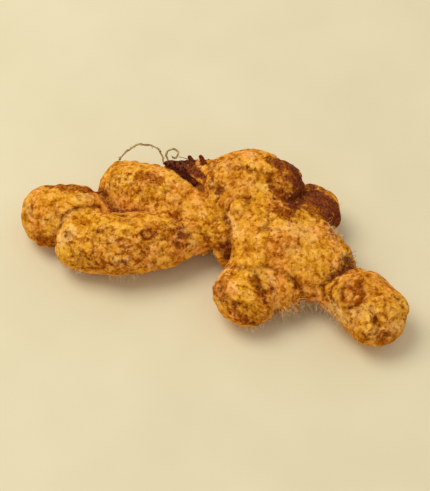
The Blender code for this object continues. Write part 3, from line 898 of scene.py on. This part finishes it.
def root_rows(axes, rng):
    """Rows of x, y, z, radius for each broken root, on the skin low down on the sides."""
    fingers = list(axes.values())
    found = []
    while len(found) < ROOTS:
        axis = fingers[rng.randrange(len(fingers))]
        place = axis[rng.randrange(len(axis) // 3, len(axis)), :3].copy()
        heading = rng.uniform(0, 2 * math.pi)
        way = np.array([math.cos(heading), math.sin(heading), rng.uniform(*ROOT_SLOPE)])
        way /= np.linalg.norm(way)
        for _ in range(STEPS_OUTWARDS):
            gap = read_skin(place[None], fingers)[0][0]
            place -= min(gap, 0) * way
        if not ROOT_LEVEL[0] < place[2] < ROOT_LEVEL[1]:
            continue
        length = rng.uniform(*ROOT_LENGTHS)
        bend = ROOT_BEND * length * np.array([rng.uniform(-1, 1), rng.uniform(-1, 1), -ROOT_SAG])
        elbow = place + ROOT_ELBOW * length * way
        tip = place + length * way + bend
        tip[2] = max(tip[2], LOWEST_ROOT_TIP)
        rows = (place - ROOT_DEPTH * way, elbow, tip)
        found.append([(*row, radius) for row, radius in zip(rows, ROOT_RADII)])
    return found


def roughen(rows, amount, breadth):
    """Rows with their radii made uneven."""
    rows = smooth_axis(rows, UNEVEN_SPAN)
    rows[:, 3] *= 1 + amount * noise_at(rows[:, :3], breadth, UNEVEN_SHIFT)
    return rows


def make_stump(strands):
    """The dried stump and its two horns, with fibres frayed from them."""
    rng = random.Random(SEED + 1)
    thick = [roughen(rows, *STUMP_UNEVENNESS) for rows in (*strands, *HORNS)]
    tubes = list(thick)
    for _ in range(STUMP_FIBRES):
        source = thick[rng.randrange(len(strands))]
        first = rng.randrange(FIBRE_ENDS[0], len(source) - FIBRE_ENDS[1])
        offset = any_way(rng) * source[first, 3]
        drift = np.array([rng.uniform(-1, 1), rng.uniform(-1, 1), rng.uniform(*FIBRE_LIFT)])
        rows = []
        for step, row in enumerate(source[first : first + FIBRE_ROWS]):
            point = row[:3] + offset + FIBRE_DRIFT * step * drift
            rows.append((*point, FIBRE_RADIUS * (1 - FIBRE_TAPER * step)))
        tubes.append(rows)
    return tube_object("shoot_stump", tubes, STUMP_SIDES)


def make_curls():
    """The two wiry rootlets, knotted here and there, with a few short side hairs."""
    rng = random.Random(SEED + 2)
    tubes = []
    for points in CURLS:
        rows = smooth_axis([(*point, CURL_RADIUS) for point in points], CURL_SPAN)
        shifts = [CURL_WOBBLE_SHIFT * axis for axis in range(3)]
        wobble = [noise_at(rows[:, :3], CURL_WOBBLE_BREADTH, shift) for shift in shifts]
        rows[:, :3] += CURL_WOBBLE * np.array(wobble).T
        knots = np.maximum(noise_at(rows[:, :3], KNOT_BREADTH, KNOT_SHIFT), THINNEST_NECK)
        rows[:, 3] *= CURL_THICKNESS + KNOT_GROWTH * knots
        tubes.append(rows)
        for row in rows[FIRST_SIDE_HAIR::SIDE_HAIR_STEP]:
            way = any_way(rng)
            hair = []
            for share in SIDE_HAIR_SHARES:
                point = row[:3] + share * way * SIDE_HAIR_LENGTH
                hair.append((*point, SIDE_HAIR_RADIUS - SIDE_HAIR_TAPER * share))
            tubes.append(hair)
    return tube_object("curling_rootlets", tubes, CURL_SIDES)


def make_roots(rows_of_roots):
    """The short broken roots."""
    tubes = [roughen(rows, *ROOT_UNEVENNESS) for rows in rows_of_roots]
    return tube_object("broken_roots", tubes, ROOT_SIDES)


def make_hairs(name, skin, tufts):
    """Fine root hairs, in tufts where the photograph shows them and where soil held them."""
    rng = random.Random(SEED + 3)
    points = vertex_positions(skin)
    normals = np.empty(len(points) * 3)
    skin.data.vertices.foreach_get("normal", normals)
    normals = normals.reshape(-1, 3)
    low = place_in_layout(CAD_BOX[0]) + HAIR_MARGIN
    high = place_in_layout(CAD_BOX[1]) - HAIR_MARGIN
    tubes = []
    for middle, reach, count, length in tufts:
        near = np.flatnonzero(np.linalg.norm(points - middle, axis=1) < reach)
        for _ in range(count if len(near) else 0):
            chosen = near[rng.randrange(len(near))]
            place = points[chosen] - HAIR_DEPTH * normals[chosen]
            way = normals[chosen] + HAIR_SPREAD * any_way(rng)
            step = length * rng.uniform(*HAIR_LENGTHS) / HAIR_STEPS
            rows = []
            for number in range(HAIR_STEPS + 1):
                held = np.clip(place, low, high)
                rows.append((*held, HAIR_RADIUS * (1 - HAIR_TAPER * number)))
                way = way + HAIR_WANDER * any_way(rng)
                way[2] -= HAIR_DROOP
                way /= np.linalg.norm(way)
                place = place + step * way
            if min(np.diff(np.array(rows)[:, :3], axis=0).ptp(axis=0)) > 0:
                tubes.append(rows)
    return tube_object(name, tubes, HAIR_SIDES)


class Paint:
    """Builds one node material."""

    def __init__(self, name):
        self.material = bpy.data.materials.new(name)
        self.material.use_nodes = True
        self.tree = self.material.node_tree
        self.shader = self.tree.nodes["Principled BSDF"]
        self.place = self.node("ShaderNodeTexCoord").outputs["Object"]

    def node(self, kind, **settings):
        """A new node of that kind, with those settings."""
        made = self.tree.nodes.new(kind)
        for name, value in settings.items():
            setattr(made, name, value)
        return made

    def feed(self, socket, value):
        """Links an output to the socket, or sets a plain value on it."""
        if isinstance(value, bpy.types.NodeSocket):
            self.tree.links.new(value, socket)
        else:
            socket.default_value = value

    def noise(self, breadth, detail=4.0, roughness=0.6, distortion=0.0):
        """Noise with lumps of that breadth in millimetres."""
        made = self.node("ShaderNodeTexNoise")
        self.feed(made.inputs["Vector"], self.place)
        self.feed(made.inputs["Scale"], 1 / (breadth * MM))
        self.feed(made.inputs["Detail"], detail)
        self.feed(made.inputs["Roughness"], roughness)
        self.feed(made.inputs["Distortion"], distortion)
        return made.outputs["Fac"]

    def mark(self, name):
        """A number that the mesh keeps for each point."""
        made = self.node("ShaderNodeAttribute", attribute_name=name)
        return made.outputs["Fac"]

    def math(self, operation, first, second=0.0):
        """The result of one operation on two values."""
        made = self.node("ShaderNodeMath", operation=operation)
        self.feed(made.inputs[0], first)
        self.feed(made.inputs[1], second)
        return made.outputs["Value"]

    def times(self, first, second):
        """The product of two values."""
        return self.math("MULTIPLY", first, second)

    def blend(self, parts):
        """The sum of values, each times its weight."""
        total = 0.0
        for value, weight in parts:
            total = self.math("ADD", self.times(value, weight), total)
        return total

    def streaks(self, length, breadth):
        """Noise drawn out along the rings, with streaks of that length and breadth."""
        scaled = self.node("ShaderNodeVectorMath", operation="SCALE")
        self.feed(scaled.inputs[0], self.place)
        self.feed(scaled.inputs["Scale"], 1 / (length * MM))
        made = self.node("ShaderNodeTexNoise", noise_dimensions="4D")
        self.feed(made.inputs["Vector"], scaled.outputs["Vector"])
        self.feed(made.inputs["W"], self.times(self.mark("along"), 1 / breadth))
        self.feed(made.inputs["Scale"], 1.0)
        self.feed(made.inputs["Detail"], 3.0)
        return made.outputs["Fac"]

    def spread(self, value, low, high):
        """The value, stretched so that low to high becomes 0 to 1."""
        made = self.node("ShaderNodeMapRange", clamp=True)
        self.feed(made.inputs["Value"], value)
        self.feed(made.inputs["From Min"], low)
        self.feed(made.inputs["From Max"], high)
        return made.outputs["Result"]

    def ragged(self, mark, uneven, reach, low, high):
        """The mark with its edge made ragged by noise, stretched so that low to high is 0 to 1."""
        push = self.times(self.math("SUBTRACT", 0.5, uneven), reach)
        return self.spread(self.math("ADD", mark, push), low, high)

    def ramp(self, value, stops):
        """The colour at that value, between stops of (position, colour)."""
        made = self.node("ShaderNodeValToRGB")
        elements = made.color_ramp.elements
        while len(elements) < len(stops):
            elements.new(0.5)
        for element, (position, colour) in zip(elements, stops):
            element.position = position
            element.color = (*colour, 1)
        self.feed(made.inputs["Fac"], value)
        return made.outputs["Color"]

    def mix(self, share, first, second, kind="MIX"):
        """Two colours mixed: a share of 0 gives the first."""
        made = self.node("ShaderNodeMix", data_type="RGBA", blend_type=kind)
        self.feed(made.inputs["Factor"], share)
        for socket, colour in ((made.inputs["A"], first), (made.inputs["B"], second)):
            self.feed(socket, (*colour, 1) if isinstance(colour, tuple) else colour)
        return made.outputs["Result"]

    def bump(self, height, strength, distance, normal=None):
        """A surface direction with fine relief, added to another one where that is given."""
        made = self.node("ShaderNodeBump")
        self.feed(made.inputs["Height"], height)
        self.feed(made.inputs["Strength"], strength)
        self.feed(made.inputs["Distance"], distance * MM)
        if normal is not None:
            self.feed(made.inputs["Normal"], normal)
        return made.outputs["Normal"]

    def finish(self, colour, roughness, specular=0.5):
        """Gives the shader its colour and gloss, and returns the material."""
        self.feed(self.shader.inputs["Base Color"], colour)
        self.feed(self.shader.inputs["Roughness"], roughness)
        self.feed(self.shader.inputs["Specular IOR Level"], specular)
        return self.material


def skin_material():
    """Golden brown papery skin: mottled, freckled, darker in rings and stains, with dirt and painted
    shade in creases, and painted shade, highlights and glints in places.
    """
    paint = Paint("ginger_skin")
    broad = paint.noise(12.0, 3.0, 0.55)
    mottle = paint.noise(4.0, 4.0, 0.6, 0.3)
    ragged = paint.noise(2.4, 4.0, 0.65, 0.4)
    fine = paint.noise(1.0, 3.0, 0.6)
    streak = paint.streaks(5.0, 1.2)
    relief = paint.spread(paint.mark("relief"), -0.1, 1.1)

    # The plain tone of the skin, from deep brown to light gold. Its relief share darkens the hollows
    # and lightens the ridges of the fine relief: painted shade and highlight.
    tone = paint.blend(
        ((broad, 0.22), (mottle, 0.32), (ragged, 0.22), (streak, 0.08), (fine, 0.08), (relief, 0.08))
    )
    colour = paint.ramp(tone, SKIN_TONES)

    # Broad areas are yellower or rosier.
    tint = paint.mix(paint.spread(paint.noise(16.0, 3.0, 0.6), 0.40, 0.60), YELLOW_TINT, ROSY_TINT)
    colour = paint.mix(1.0, colour, tint, "MULTIPLY")

    # Worn patches with painted highlights on edges that face the lamp, and small pale specks that are
    # painted glints.
    worn_and_highlight = paint.ragged(paint.mark("pale_and_highlight"), paint.math("SUBTRACT", 1.0, ragged), 1.4, 0.2, 0.9)
    # Painted glints: small pale specks, as the skin has no specular gloss of its own.
    glint_spots = paint.times(paint.spread(paint.noise(1.9, 2.0, 0.5, 0.4), 0.56, 0.68), 0.45)
    colour = paint.mix(paint.math("MAXIMUM", glint_spots, paint.times(worn_and_highlight, 0.75)), colour, PALE_SKIN_AND_HIGHLIGHT)

    # Dashes along the rings, blotches and freckles.
    dashes = paint.times(paint.spread(streak, 0.54, 0.66), 0.25)
    colour = paint.mix(dashes, colour, DEEP_BROWN)
    blotchy = paint.spread(paint.noise(13.0, 1.0), 0.42, 0.60)
    blotches = paint.times(paint.spread(ragged, 0.46, 0.36), blotchy)
    colour = paint.mix(paint.times(blotches, 0.55), colour, DEEP_BROWN)
    freckly = paint.spread(paint.noise(8.0, 1.0), 0.38, 0.56)
    freckles = paint.times(paint.spread(paint.noise(1.8, 1.0, 0.5), 0.54, 0.66), freckly)
    colour = paint.mix(paint.times(freckles, 0.6), colour, DEEP_BROWN)

    # Stains, with the stain's own brown, and red patches. Over the crown's right end and the back
    # knob both are partly painted shade.
    brown = paint.mix(paint.spread(ragged, 0.36, 0.54), DARK_BROWN, DEEP_BROWN)
    speckle = paint.math("ADD", paint.times(paint.spread(fine, 0.62, 0.42), 0.4), 0.58)
    stain_and_shade = paint.times(paint.ragged(paint.mark("stain_and_shade"), ragged, 2.0, 0.15, 0.75), speckle)
    colour = paint.mix(stain_and_shade, colour, brown)
    red_and_shade = paint.times(paint.ragged(paint.mark("red_and_shade"), ragged, 2.0, 0.25, 1.0), 0.9)
    colour = paint.mix(red_and_shade, colour, paint.mix(paint.spread(fine, 0.4, 0.6), DARK_RED, REDDISH))

    # Rings, scars, pits, creases and the dry skin of the stump. The creases are darkened with dirt
    # and painted shade.
    ring = paint.ragged(paint.mark("ring"), mottle, 1.8, 0.35, 1.0)
    colour = paint.mix(paint.times(ring, 0.55), colour, brown)
    hollow = paint.math("MAXIMUM", paint.mark("scar"), paint.times(paint.mark("pit"), 0.5))
    colour = paint.mix(paint.times(hollow, 0.85), colour, brown)
    crease_dirt_and_shade = paint.times(paint.ragged(paint.mark("crease_dirt_and_shade"), ragged, 1.6, 0.3, 1.15), speckle)
    crease_dirt_and_shade = paint.math("MAXIMUM", crease_dirt_and_shade, paint.times(paint.mark("line"), speckle))
    crease_dirt_and_shade = paint.times(crease_dirt_and_shade, paint.math("SUBTRACT", 1.0, paint.times(worn_and_highlight, 0.8)))
    colour = paint.mix(crease_dirt_and_shade, colour, DARK_BROWN)
    dry = paint.ragged(paint.mark("dry"), fine, 0.8, 0.3, 0.8)
    colour = paint.mix(dry, colour, paint.mix(paint.spread(fine, 0.4, 0.6), NEAR_BLACK, REDDISH))

    grain = paint.bump(paint.noise(0.7, 4.0, 0.65), 0.3, 0.2)
    normal = paint.bump(ragged, 0.6, 0.7, grain)
    normal = paint.bump(streak, 0.4, 0.6, normal)
    paint.feed(paint.shader.inputs["Normal"], normal)
    roughness = paint.math("ADD", paint.times(fine, 0.3), 0.42)
    return paint.finish(colour, roughness, 0.0)


def stump_material():
    """Dry shoot fibres, nearly black at the tip and brown where they join the root."""
    paint = Paint("dry_stump")
    grain = paint.noise(1.2, 5.0, 0.7, 0.5)
    tip = paint.ramp(grain, STUMP_TIP_TONES)
    base = paint.ramp(grain, STUMP_BASE_TONES)
    split = paint.node("ShaderNodeSeparateXYZ")
    paint.feed(split.inputs["Vector"], paint.place)

    # The same dry edge as the skin's, in the row frame.
    turn = (DRY_BACK - LAYOUT_CENTRE[1]) * MM
    front = paint.math("MINIMUM", split.outputs["Y"], turn)
    behind = paint.math("MAXIMUM", paint.math("SUBTRACT", split.outputs["Y"], turn), 0.0)
    parts = ((split.outputs["X"], 1.0), (front, DRY_SLANT), (behind, -DRY_BACK_SLANT))
    across = paint.blend(parts)
    shift = LAYOUT_CENTRE[0] + DRY_SLANT * LAYOUT_CENTRE[1]
    share = paint.spread(across, (DRY_EDGE - shift) * MM, (DRY_EDGE + DRY_FADE - shift) * MM)
    paint.feed(paint.shader.inputs["Normal"], paint.bump(grain, 0.8, 0.5))
    return paint.finish(paint.mix(share, tip, base), 0.8, DULL)


def rootlet_material(name, dark, light, specular=0.5):
    """Rootlets, roots or hairs, unevenly coloured along their length."""
    paint = Paint(name)
    colour = paint.ramp(paint.noise(1.8, 3.0, 0.6), ((0.38, dark), (0.62, light)))
    return paint.finish(colour, 0.7, specular)


def floor_material():
    """Plain pale paper-like surface."""
    paint = Paint("pale_floor")
    return paint.finish(paint.ramp(paint.noise(60.0, 2.0), FLOOR_TONES), 0.75)


def make_studio():
    """The floor, the soft light and the camera."""
    mesh = bpy.data.meshes.new("floor")
    signs = ((-1, -1), (1, -1), (1, 1), (-1, 1))
    corners = [(x * FLOOR_REACH, y * FLOOR_REACH, 0) for x, y in signs]
    mesh.from_pydata(corners, [], [(0, 1, 2, 3)])
    floor = add_object("floor", mesh)
    floor.location.z = -FLOOR_DROP
    floor.data.materials.append(floor_material())

    world = bpy.data.worlds.new("studio")
    world.use_nodes = True
    sky = world.node_tree.nodes["Background"]
    sky.inputs["Color"].default_value = SKY_COLOUR
    sky.inputs["Strength"].default_value = SKY_STRENGTH
    bpy.context.scene.world = world

    lamp = bpy.data.lights.new("window", "AREA")
    lamp.shape = "DISK"
    lamp.size = LAMP_BREADTH
    lamp.energy = LAMP_POWER
    lamp.color = LAMP_COLOUR
    light = add_object("window", lamp)
    light.location = LAMP_PLACE
    light.rotation_mode = "QUATERNION"
    light.rotation_quaternion = (-light.location).to_track_quat("-Z", "Y")

    camera = add_object("camera", bpy.data.cameras.new("camera"))
    camera.data.lens = CAMERA_LENS
    camera.data.clip_start = CAMERA_NEAR
    tilt = math.radians(CAMERA_ELEVATION)
    back = Vector((0, -math.cos(tilt), math.sin(tilt)))
    target = Vector(place_in_frame(np.array(CAMERA_TARGET)))
    camera.location = target + back * CAMERA_DISTANCE * MM
    camera.rotation_mode = "QUATERNION"
    camera.rotation_quaternion = (-back).to_track_quat("-Z", "Y")
    bpy.context.scene.camera = camera
    bpy.context.scene.view_settings.view_transform = "Standard"


def finish_piece(piece, material):
    """Gives the piece its material, and lets it ride on the one body."""
    piece.data.materials.clear()
    piece.data.materials.append(material)
    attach(piece, BODY)


def main():
    """Makes every piece of the root, and the studio round it."""
    axes = {name: smooth_axis(stations) for name, stations in FINGERS.items()}
    rng = random.Random(SEED)
    strands = list(stump_strands(rng))
    roots = root_rows(axes, rng)

    skin = make_skin(axes)
    finish_piece(skin, skin_material())
    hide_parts(NODE)
    finish_piece(make_stump(strands), stump_material())
    finish_piece(make_curls(), rootlet_material("rootlet", *ROOTLET_TONES, DULL))
    finish_piece(make_roots(roots), rootlet_material("broken_root", OCHRE_BROWN, GOLD))
    pale_hair = rootlet_material("root_hair", *ROOT_HAIR_TONES)
    finish_piece(make_hairs("root_hairs", skin, PALE_TUFTS), pale_hair)
    dark_hair = rootlet_material("dark_hair", DARK_RED, REDDISH)
    finish_piece(make_hairs("dark_hairs", skin, DARK_TUFTS), dark_hair)
    make_studio()


main()
